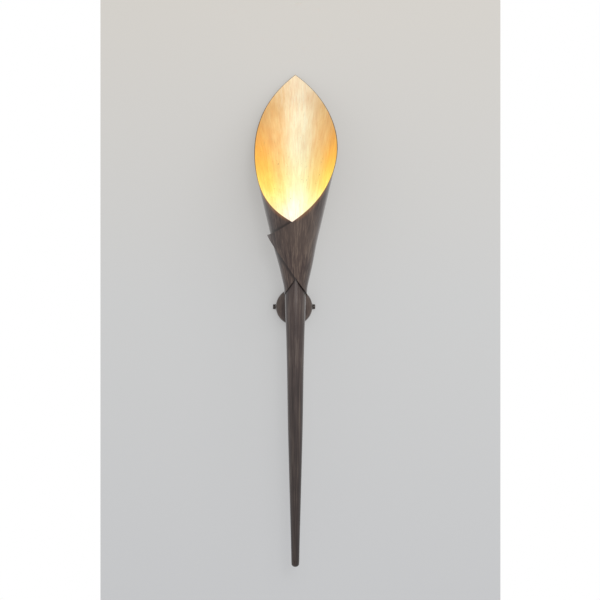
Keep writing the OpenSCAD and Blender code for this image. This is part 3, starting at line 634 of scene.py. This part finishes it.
def nothingSelected():
    if bpy.context.object and bpy.context.object.mode != "OBJECT":
        bpy.ops.object.mode_set(mode="OBJECT")
    bpy.ops.object.select_all(action="DESELECT")


def onlySelected(piece):
    nothingSelected()
    piece.select_set(True)
    bpy.context.view_layer.objects.active = piece


def applyModifier(piece, kind, name, **settings):
    modifier = piece.modifiers.new(name, kind)
    for key, value in settings.items():
        setattr(modifier, key, value)
    onlySelected(piece)
    bpy.ops.object.modifier_apply(modifier=name)


def settle(piece, smoothAngle=None):
    # place, turn and size go into the mesh
    onlySelected(piece)
    bpy.ops.object.transform_apply(location=True, rotation=True, scale=True)
    if smoothAngle is None:
        bpy.ops.object.shade_smooth()
    else:
        bpy.ops.object.shade_smooth_by_angle(angle=math.radians(smoothAngle))


def joinCorners(piece, flatAngle=None):
    # corners that lie together become one, and then faces that lie in one plane
    onlySelected(piece)
    bpy.ops.object.mode_set(mode="EDIT")
    bpy.ops.mesh.select_all(action="SELECT")
    bpy.ops.mesh.remove_doubles(threshold=workshop["merge"])
    if flatAngle:
        bpy.ops.mesh.dissolve_limited(angle_limit=math.radians(flatAngle))
    bpy.ops.object.mode_set(mode="OBJECT")


def dress(piece, name, body, nodes, slot, *materials):
    piece.name = name
    piece.data.name = name
    if materials:
        piece.data.materials.clear()
    for key in materials:
        piece.data.materials.append(finishes[key])
    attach(piece, body)
    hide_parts(*nodes)


def softened(node, name, body, slot, finish, width):
    # a fitting from the frame with its edges broken, as filed or moulded
    source = cadNodes[node]
    piece = bpy.data.objects.new(name, source.data.copy())
    bpy.context.scene.collection.objects.link(piece)
    joinCorners(piece, workshop["flat"])
    applyModifier(
        piece, "BEVEL", "broken edges", width=width, segments=workshop["bevelSegments"],
        limit_method="ANGLE", angle_limit=math.radians(workshop["bevelAngle"]),
    )
    joinCorners(piece)
    settle(piece, workshop["smoothFitting"])
    dress(piece, name, body, [node], slot, finish)


def turned(stations, sides=96, closed=False):
    # rings of (radius, height) on the z axis, as turned on a lathe
    nothingSelected()
    radius, height = stations[0]
    now = max(radius, workshop["point"])
    bpy.ops.mesh.primitive_circle_add(
        vertices=sides, radius=now, fill_type="NOTHING", location=(0, 0, height)
    )
    piece = bpy.context.object
    bpy.ops.object.transform_apply(location=True)
    bpy.ops.object.mode_set(mode="EDIT")
    bpy.ops.mesh.select_all(action="SELECT")
    for radius, level in stations[1:] + (stations[:1] if closed else []):
        wanted = max(radius, workshop["point"])
        bpy.ops.mesh.extrude_region_move(
            TRANSFORM_OT_translate={"value": (0, 0, level - height)}
        )
        bpy.ops.transform.resize(
            value=(wanted / now, wanted / now, 1), center_override=(0, 0, level)
        )
        now, height = wanted, level
    bpy.ops.mesh.select_all(action="SELECT")
    bpy.ops.mesh.remove_doubles(threshold=workshop["merge"])
    bpy.ops.mesh.normals_make_consistent(inside=False)
    bpy.ops.object.mode_set(mode="OBJECT")
    return piece


def arc(centre, radii, first, last, steps):
    # stations on an ellipse, angles in degrees from the radius direction
    made = []
    for step in range(steps + 1):
        a = math.radians(first + (last - first) * step / steps)
        made.append((centre[0] + radii[0] * math.cos(a), centre[1] + radii[1] * math.sin(a)))
    return made


print("torch sconce: shade")

# lengths in mm and angles in degrees; a point of the flat sheet has its distance from the point of
# the cone, along the sheet's middle line, and its distance beside that line; the azimuth of a point
# of the rolled sheet is 0 at the wall side and 180 in front
sheetCut = {
    "angle": 13.4, "apex": -52.0, "thick": 1.0,
    # the right flap lies this far out, over so many degrees, and its corner springs off further
    "lap": 1.6, "lapFrom": 20, "lapSpread": 60, "spring": 5.4, "springFrom": 205,
    # at the bottom the sheet wraps the stem
    "wrap": 21.3, "wrapSoft": 1.2,
    # the bottom edge rises to each side, and is highest this far out
    "bottom": 71.0, "rise": 26.0, "riseWidth": 149.0, "bottomRounds": 24,
    "tip": (551.0, 4.8), "corner": 180.0, "cornerRound": 0.6,
    # the upper part stands this far to the left
    "lean": 2.2, "leanFrom": 74.66, "leanHeight": 60.0,
    # angle and reach at the tip, side point, its angle and reaches, angle and reach at the corner
    "right": (53.0, 90.0, (318.0, 127.0), 11.6, 71.0, 80.0, 33.7, 55.0),
    "left": (51.0, 99.0, (305.0, 110.5), 9.3, 85.0, 69.0, 32.4, 46.0),
    "archSteps": 84, "flapSteps": 60, "rows": 44,
    # the right flap's free edge is followed from one azimuth to the other, round the corner; the
    # part of the sheet past the third lies under it, and no way to the edge counts as longer
    "freeFrom": 150, "freeTo": 165, "freeSteps": 48, "underFrom": -80, "reachMost": 50.0,
    # outside, inside and cut edge
    "finishes": ("shadeBronze", "goldLeaf", "bronzeEdge"),
}


def bezierPoint(points, t):
    return tuple(
        (1 - t) ** 3 * a + 3 * (1 - t) ** 2 * t * b + 3 * (1 - t) * t * t * c + t ** 3 * d
        for a, b, c, d in zip(*points)
    )


def bottomX(cut, y):
    return cut["bottom"] + cut["rise"] / 2 * (1 - math.cos(math.pi * y / cut["riseWidth"]))


def bottomSlant(cut, theta):
    # where a generator of the cone meets the bottom edge
    x = cut["bottom"] + cut["rise"] / 2
    for step in range(cut["bottomRounds"]):
        x = bottomX(cut, x * math.tan(theta))
    return x / math.cos(theta)


def sideOutline(cut, tip, side, corner):
    tipAngle, tipReach, middle, angle, up, down, cornerAngle, cornerReach = side

    def ahead(point, degrees, reach):
        turn = math.radians(degrees)
        return (point[0] + reach * math.cos(turn), point[1] - reach * math.sin(turn))

    arch = (tip, ahead(tip, tipAngle, -tipReach), ahead(middle, angle, up), middle)
    flap = (middle, ahead(middle, angle, -down), ahead(corner, cornerAngle, cornerReach), corner)
    made = [bezierPoint(arch, i / cut["archSteps"]) for i in range(cut["archSteps"] + 1)]
    return made + [bezierPoint(flap, i / cut["flapSteps"]) for i in range(1, cut["flapSteps"] + 1)]


def smoothStep(x):
    t = min(1.0, max(0.0, x))
    return t * t * (3 - 2 * t)


def rolledPoint(cut, theta, slant, cornerTheta):
    # a point of the flat sheet after rolling, in metres
    sinA, cosA = math.sin(math.radians(cut["angle"])), math.cos(math.radians(cut["angle"]))
    azimuth = math.degrees(theta) / sinA
    cornerAzimuth = math.degrees(cornerTheta) / sinA
    sprung = max(0.0, (azimuth - cut["springFrom"]) / (cornerAzimuth - cut["springFrom"]))
    over = cut["lap"] * smoothStep((azimuth - cut["lapFrom"]) / cut["lapSpread"])
    over += cut["spring"] * sprung ** 2
    cone = slant * sinA + over * cosA
    wrap = cut["wrap"] + over
    radius = (cone + wrap + math.hypot(cone - wrap, cut["wrapSoft"])) / 2
    turn = math.radians(azimuth)
    height = cut["apex"] + slant * cosA - over * sinA
    lean = cut["lean"] * smoothStep((height - cut["leanFrom"]) / cut["leanHeight"])
    return (
        (radius * math.sin(turn) - lean) * mm,
        radius * math.cos(turn) * mm + torchAxis["y"],
        height * mm,
    )


def bottomHeight(cut, azimuth):
    # height of the bottom edge at an azimuth, in metres
    theta = math.radians(azimuth) * math.sin(math.radians(cut["angle"]))
    return (cut["apex"] + bottomSlant(cut, theta) * math.cos(math.radians(cut["angle"]))) * mm


def freeEdge(cut, right):
    # free edge of the right flap as seen from the front, from its middle round the corner and back
    sinA = math.sin(math.radians(cut["angle"]))
    cornerTheta = math.atan2(right[-1][1], right[-1][0])
    freeTheta = math.radians(cut["freeTo"]) * sinA
    flap = [(math.atan2(y, x), math.hypot(x, y)) for x, y in right]
    flap = [(theta, slant) for theta, slant in flap if math.degrees(theta) / sinA > cut["freeFrom"]]
    for step in range(cut["freeSteps"] + 1):
        theta = cornerTheta + (freeTheta - cornerTheta) * step / cut["freeSteps"]
        flap.append((theta, bottomSlant(cut, theta)))
    places = [rolledPoint(cut, theta, slant, cornerTheta) for theta, slant in flap]
    return [(x, z) for x, y, z in places]


def wayToEdge(line, x, z):
    # way from a place on the left flap to the edge that lies over it, less than 0 under the flap
    inside = False
    nearest = 1.0
    for (x0, z0), (x1, z1) in zip(line, line[1:] + line[:1]):
        if (z0 > z) != (z1 > z) and x < x0 + (x1 - x0) * (z - z0) / (z1 - z0):
            inside = not inside
    for (x0, z0), (x1, z1) in zip(line, line[1:]):
        length = max(1e-12, (x1 - x0) ** 2 + (z1 - z0) ** 2)  # squared, and never 0
        along = ((x - x0) * (x1 - x0) + (z - z0) * (z1 - z0)) / length
        along = min(1.0, max(0.0, along))
        nearest = min(nearest, math.hypot(x - x0 - along * (x1 - x0), z - z0 - along * (z1 - z0)))
    return -nearest if inside else nearest


def makeShade(cut):
    corner = (bottomX(cut, cut["corner"]) + cut["cornerRound"], cut["corner"])
    cornerTheta = math.atan2(corner[1], corner[0])
    right = sideOutline(cut, cut["tip"], cut["right"], corner)
    left = sideOutline(cut, (cut["tip"][0], -cut["tip"][1]), cut["left"], corner)
    edge = [(x, -y) for x, y in reversed(left[1:])] + right
    nothingSelected()
    bpy.ops.mesh.primitive_grid_add(
        x_subdivisions=len(edge) - 1, y_subdivisions=cut["rows"], size=2, location=(0, 0, 0)
    )
    piece = bpy.context.object
    reach = piece.data.attributes.new("edgeReach", "FLOAT", "POINT")
    rim = piece.data.attributes.new("rimReach", "FLOAT", "POINT")
    line = freeEdge(cut, right)
    # column and row of each corner of the grid, then its place on the cone
    for vertex in piece.data.vertices:
        column = round((vertex.co.x + 1) / 2 * (len(edge) - 1))
        row = (vertex.co.y + 1) / 2
        x, y = edge[column]
        theta = math.atan2(y, x)
        low = bottomSlant(cut, theta)
        slant = low + (math.hypot(x, y) - low) * row
        vertex.co = rolledPoint(cut, theta, slant, cornerTheta)
        # way to the upper edge, square to it
        (x0, y0), (x1, y1) = edge[max(0, column - 1)], edge[min(len(edge) - 1, column + 1)]
        slope = abs(x * (y1 - y0) - y * (x1 - x0)) / math.hypot(x, y) / math.dist((x0, y0), (x1, y1))
        rim.data[vertex.index].value = (math.hypot(x, y) - slant) * slope * mm
        away = cut["reachMost"] * mm
        if math.degrees(theta / math.sin(math.radians(cut["angle"]))) < cut["underFrom"]:
            away = min(away, wayToEdge(line, vertex.co.x, vertex.co.z))
        reach.data[vertex.index].value = away
    piece.data.flip_normals()
    for key in cut["finishes"]:
        piece.data.materials.append(finishes[key])
    applyModifier(
        piece, "SOLIDIFY", "sheet", thickness=cut["thick"] * mm, offset=0,
        material_offset=1, material_offset_rim=2,
    )
    return piece


shade = makeShade(sheetCut)
settle(shade, workshop["smooth"])
dress(shade, "shade", "sconce", ["shade_sheet"], "dark_bronze")

print("torch sconce: stem")

stemShape = {
    "headTop": 64.66,
    # radius by height, thinned by hand towards the foot
    "taper": [
        (20.5, 24.0), (20.5, 12.0), (20.4, 4.0), (20.05, -8.0), (19.6, -22.0), (18.75, -46.0),
        (18.15, -66.0), (17.6, -88.0), (17.1, -110.0), (16.7, -130.0), (16.4, -148.0),
        (16.0, -175.0), (15.55, -205.0), (14.9, -244.0), (14.15, -275.0), (13.3, -306.0),
        (12.3, -345.0), (11.2, -385.0), (10.1, -425.0), (9.2, -458.0), (8.65, -480.0),
        (8.3, -496.0), (8.1, -507.0),
    ],
    "wall": 1.5,
}


def stemRings(shape):
    outer = [(shape["taper"][0][0], shape["headTop"])] + shape["taper"]
    inner = [(radius - shape["wall"], height) for radius, height in reversed(outer)]
    return [(r * mm, z * mm) for r, z in outer + inner]


stem = turned(stemRings(stemShape), closed=True)
stem.location = (0, torchAxis["y"], 0)
settle(stem, workshop["smooth"])
# height below the sheet's bottom edge, which places the painted shadow under it
reach = stem.data.attributes.new("edgeReach", "FLOAT", "POINT")
for vertex in stem.data.vertices:
    azimuth = math.degrees(math.atan2(vertex.co.x, vertex.co.y - torchAxis["y"]))
    reach.data[vertex.index].value = bottomHeight(sheetCut, abs(azimuth)) - vertex.co.z
dress(stem, "stem", "sconce", ["stem_tube"], "dark_bronze", "stemBronze")

footShape = {
    "radius": 8.1, "top": -507.0, "bottom": -520.0, "spigot": 6.55, "spigotTop": -495.0,
    "chamfer": 0.3,
    # the rounded end: its height, how far in it starts, and its steps
    "round": 6.4, "inset": 0.35, "steps": 14,
}


def footRings(shape):
    r, chamfer = shape["radius"], shape["chamfer"]
    made = [(0, shape["spigotTop"]), (shape["spigot"], shape["spigotTop"])]
    made += [(shape["spigot"], shape["top"]), (r - chamfer, shape["top"]), (r, shape["top"] - chamfer)]
    centre, radii = (0, shape["bottom"] + shape["round"]), (r - shape["inset"], shape["round"])
    made += arc(centre, radii, 0, -90, shape["steps"])
    return [(a * mm, b * mm) for a, b in made]


foot = turned(footRings(footShape))
foot.location = (0, torchAxis["y"], 0)
settle(foot, workshop["smooth"])
dress(foot, "stemFoot", "sconce", ["stem_tip"], "dark_bronze", "bronze")

print("torch sconce: rosette and arm")

rosetteShape = {
    "radius": 38.0, "rim": 0.5, "chamfer": 0.5, "skirt": 14.0, "flat": 12.0, "depth": 30.0,
    "wall": 1.2, "hole": 5.15, "land": 3, "steps": 26,
}


def rosetteRings(shape):
    r, flat, depth, wall = shape["radius"], shape["flat"], shape["depth"], shape["wall"]
    rim, skirt, hole, chamfer = shape["rim"], shape["skirt"], shape["hole"], shape["chamfer"]
    outer = [(r - chamfer, rim), (r, rim + chamfer), (r, skirt * 0.5)]
    outer += arc((flat, skirt), (r - flat, depth - skirt), 0, 90, shape["steps"])
    outer += [(hole + shape["land"], depth), (hole, depth), (hole, depth - wall)]
    inner = arc((flat, skirt), (r - flat - wall, depth - skirt - wall), 90, 0, shape["steps"])
    inner += [(r - wall, skirt * 0.5), (r - wall, rim)]
    return [(a * mm, b * mm) for a, b in outer + inner]


rosette = turned(rosetteRings(rosetteShape), closed=True)
rosette.rotation_euler = (math.pi / 2, 0, 0)
settle(rosette, workshop["smooth"])
dress(rosette, "rosette", "sconce", ["rosette_cup"], "dark_bronze", "rosetteBronze")

softened("arm_tube", "arm", "sconce", "dark_bronze", "armBronze", 0.0003)
softened("arm_saddle", "armSaddle", "sconce", "dark_bronze", "armBronze", 0.0004)

screwShape = {
    "from": 30.1, "shank": 1.9, "seat": 38.3, "collar": 5.8, "collarEnd": 40.1, "neck": 4.8,
    "head": 5.1, "end": 44.1, "slot": 1.1, "slotDeep": 1.5, "depth": 8.0, "sides": 40,
    "chamfer": 0.3, "tipChamfer": 0.4,
    # over the end of the collar: start and end of the neck, and start of the head
    "neckFrom": 0.1, "neckTo": 0.5, "headFrom": 0.9,
    # the rounded end of the head: its radius, first angle and steps
    "crown": 1.2, "crownFrom": 15, "crownSteps": 5,
    # side of the rosette, name of the piece, frame node and body
    "places": [(1, "sideScrewRight", "side_screw_right"), (-1, "sideScrewLeft", "side_screw_left")],
}


def screwRings(shape):
    shank, collar, head = shape["shank"], shape["collar"], shape["head"]
    seat, collarEnd, end = shape["seat"], shape["collarEnd"], shape["end"]
    chamfer, crown = shape["chamfer"], shape["crown"]
    made = [(0, shape["from"]), (shank - chamfer, shape["from"])]
    made += [(shank, shape["from"] + shape["tipChamfer"]), (shank, seat)]
    made += [(collar - chamfer, seat), (collar, seat + chamfer)]
    made += [(collar, collarEnd - chamfer), (collar - chamfer, collarEnd)]
    made += [(shape["neck"], collarEnd + shape["neckFrom"]), (shape["neck"], collarEnd + shape["neckTo"])]
    made += [(head, collarEnd + shape["headFrom"]), (head, end - crown)]
    made += arc((head - crown, end - crown), (crown, crown), shape["crownFrom"], 90, shape["crownSteps"])
    made += [(0, end)]
    return [(a * mm, b * mm) for a, b in made]


def makeScrew(shape):
    piece = turned(screwRings(shape), sides=shape["sides"])
    nothingSelected()
    # the cutter is longer than the head and goes as far above its end as below it
    bpy.ops.mesh.primitive_cube_add(size=1, location=(0, 0, shape["end"] * mm))
    cutter = bpy.context.object
    cutter.scale = (shape["head"] * 3 * mm, shape["slot"] * mm, shape["slotDeep"] * 2 * mm)
    settle(cutter)
    applyModifier(piece, "BOOLEAN", "slot", object=cutter, operation="DIFFERENCE", solver="EXACT")
    bpy.data.objects.remove(cutter)
    return piece


for side, name, node in screwShape["places"]:
    screw = makeScrew(screwShape)
    screw.rotation_euler = (0, side * math.pi / 2, 0)
    screw.location = (0, -screwShape["depth"] * mm, 0)
    settle(screw, workshop["smoothFitting"])
    dress(screw, name, node, [node], "dark_steel", "darkScrew")

print("torch sconce: fittings")

fittings = [
    # frame node, name, body, material slot, finish, width of the broken edge in metres
    ("wall_bracket", "wallBracket", "sconce", "zinc", "zinc", 0.0003),
    ("terminal_block", "terminalBlock", "sconce", "block_plastic", "blockPlastic", 0.0005),
    ("shade_seat", "shadeSeat", "sconce", "cast_aluminium", "castAluminium", 0.0004),
    ("shade_screws", "shadeScrews", "sconce", "dark_steel", "darkScrew", 0.0003),
    ("holder_bridge", "holderBridge", "sconce", "zinc", "zinc", 0.0003),
    ("lamp_holder", "lampHolder", "sconce", "ceramic", "ceramic", 0.0007),
    ("stem_nut", "stemNut", "sconce", "brass", "brass", 0.0004),
    ("cup_nut", "cupNut", "sconce", "brass", "brass", 0.0004),
    ("cup_washer", "cupWasher", "sconce", "zinc", "zinc", 0.0002),
    ("earth_tag", "earthTag", "sconce", "zinc", "zinc", 0.0002),
    ("tie_nipple", "tieNipple", "sconce", "brass", "brass", 0.0003),
    ("earth_screw", "earthScrew", "sconce", "brass", "brass", 0.0003),
    ("block_screws", "blockScrews", "sconce", "zinc", "zinc", 0.0002),
    ("bridge_screws", "bridgeScrews", "sconce", "zinc", "zinc", 0.0002),
    ("holder_screws", "holderScrews", "sconce", "zinc", "zinc", 0.0002),
    ("lead_grommet", "leadGrommet", "sconce", "grommet_rubber", "rubber", 0.0003),
    ("bulb_base", "bulbBase", "bulb", "ceramic", "ceramic", 0.0005),
]
for fitting in fittings:
    softened(*fitting)

# the rest keep their frame meshes and get their finishes
kept = {
    "stem_washer": "zinc", "terminal_inserts": "brass", "terminal_screws": "brass",
    "holder_contacts": "brass", "lead_live": "brownSleeve", "lead_neutral": "blueSleeve",
    "leads_earth": "earthSleeve", "bulb_pins": "zinc", "bulb_glass": "glass",
    "bulb_filament": "filament",
}
for node, finish in kept.items():
    cadNodes[node].data.materials.clear()
    cadNodes[node].data.materials.append(finishes[finish])

print("torch sconce: wall and light")

wallPanel = {
    "left": -403.9 * mm, "right": 433.5 * mm, "low": -700 * mm, "high": 760 * mm,
    "behind": 0.6 * mm,
    "colour": linear(204, 205, 205), "rough": 0.9,
    # marks of the paint roller: scale, detail and roughness, then their strength and height
    "roller": (260.0, 3.0, 0.55), "bump": (0.15, 0.6 * mm),
    # what the camera sees of the wall has this share of plain painted light, which takes no shadow
    "share": 0.48,
    # painted light: the plain colour is brighter and warmer towards the ceiling, as a wash of light from
    # above
    "paintedLightWash": [(0.0, linear(195, 195, 198)), (0.5, linear(205, 204, 203)), (1.0, linear(219, 210, 197))],
    "washLow": -620 * mm, "washHigh": 640 * mm,
}


def wallFinish(name, settings):
    # matt wall paint, seen only from the room side, with a share of painted light that is brighter and
    # warmer towards the ceiling
    made = Finish(bpy.data.materials.new(name))
    roller = made.noise(made.place(), *settings["roller"])
    matt = made.node(
        "BsdfPrincipled",
        {},
        {
            "Base Color": settings["colour"],
            "Roughness": settings["rough"],
            "Normal": made.bump(roller, *settings["bump"]),
        },
    )
    level = levelBetween(made.split(2), settings["washLow"], settings["washHigh"])
    plain = made.node("Emission", {}, {"Color": made.ramp(level, settings["paintedLightWash"])})
    paint = made.node("MixShader", {}, {0: made.seen() * settings["share"], 1: matt, 2: plain})
    clear = made.node("BsdfTransparent")
    back = made.node("NewGeometry", output=6)
    made.output(made.node("MixShader", {}, {0: back, 1: paint, 2: clear}))
    return made.holder


nothingSelected()
bpy.ops.mesh.primitive_plane_add(size=1, rotation=(math.pi / 2, 0, 0))
wall = bpy.context.object
wall.name = "wallPanel"
wall.scale = (wallPanel["right"] - wallPanel["left"], wallPanel["high"] - wallPanel["low"], 1)
wall.location = (
    (wallPanel["right"] + wallPanel["left"]) / 2, wallPanel["behind"],
    (wallPanel["high"] + wallPanel["low"]) / 2,
)
settle(wall)
wall.data.materials.append(wallFinish("wallPaint", wallPanel))

studio = {
    # light of the room, and what the camera, a reflection or clear glass shows of it
    "ambient": 0.65, "roomColour": (0.97, 0.985, 1.0, 1.0), "backColour": (1.0, 1.0, 1.0, 1.0),
    # name, place, aimed at, size, watts, colour, seen in reflections
    "lamps": [
        ("frontFill", (0.4, -3.3, 0.8), (0, 0, 0.0), 2.2, 25.0, (1.0, 0.99, 0.98), True),
        ("frontSoft", (0.3, -3.3, 0.5), (0, 0, 0.0), 0.7, 17.0, (1.0, 1.0, 1.0), False),
        ("windowSide", (1.7, -2.0, 0.9), (0, 0, 0.05), 1.4, 5.0, (1.0, 1.0, 1.0), True),
    ],
    "bulb": {
        "place": (0, torchAxis["y"], 150 * mm), "watts": 0.4, "radius": 7 * mm,
        "colour": (1.0, 0.84, 0.60),
    },
}


def areaLamp(name, place, aim, size, watts, colour, reflected):
    nothingSelected()
    bpy.ops.object.light_add(type="AREA", location=place)
    lamp = bpy.context.object
    lamp.name = name
    lamp.data.shape = "DISK"
    lamp.data.size = size
    lamp.data.energy = watts
    lamp.data.color = colour
    lamp.visible_glossy = reflected
    lamp.rotation_euler = (Vector(aim) - Vector(place)).to_track_quat("-Z", "Y").to_euler()


for lampSettings in studio["lamps"]:
    areaLamp(*lampSettings)

nothingSelected()
bpy.ops.object.light_add(type="POINT", location=studio["bulb"]["place"])
bulbLight = bpy.context.object
bulbLight.name = "bulbLight"
bulbLight.data.energy = studio["bulb"]["watts"]
bulbLight.data.shadow_soft_size = studio["bulb"]["radius"]
bulbLight.data.color = studio["bulb"]["colour"]


def makeWorld(settings):
    bpy.context.scene.world = bpy.data.worlds.new("studio")
    made = Finish(bpy.context.scene.world)
    room = made.node(
        "Background", {}, {"Color": settings["roomColour"], "Strength": settings["ambient"]}
    )
    back = made.node("Background", {}, {"Color": settings["backColour"], "Strength": 1.0})
    made.output(made.node("MixShader", {}, {0: made.seen(), 1: room, 2: back}), "OutputWorld")


makeWorld(studio)
bpy.context.scene.view_settings.view_transform = "Standard"

nothingSelected()
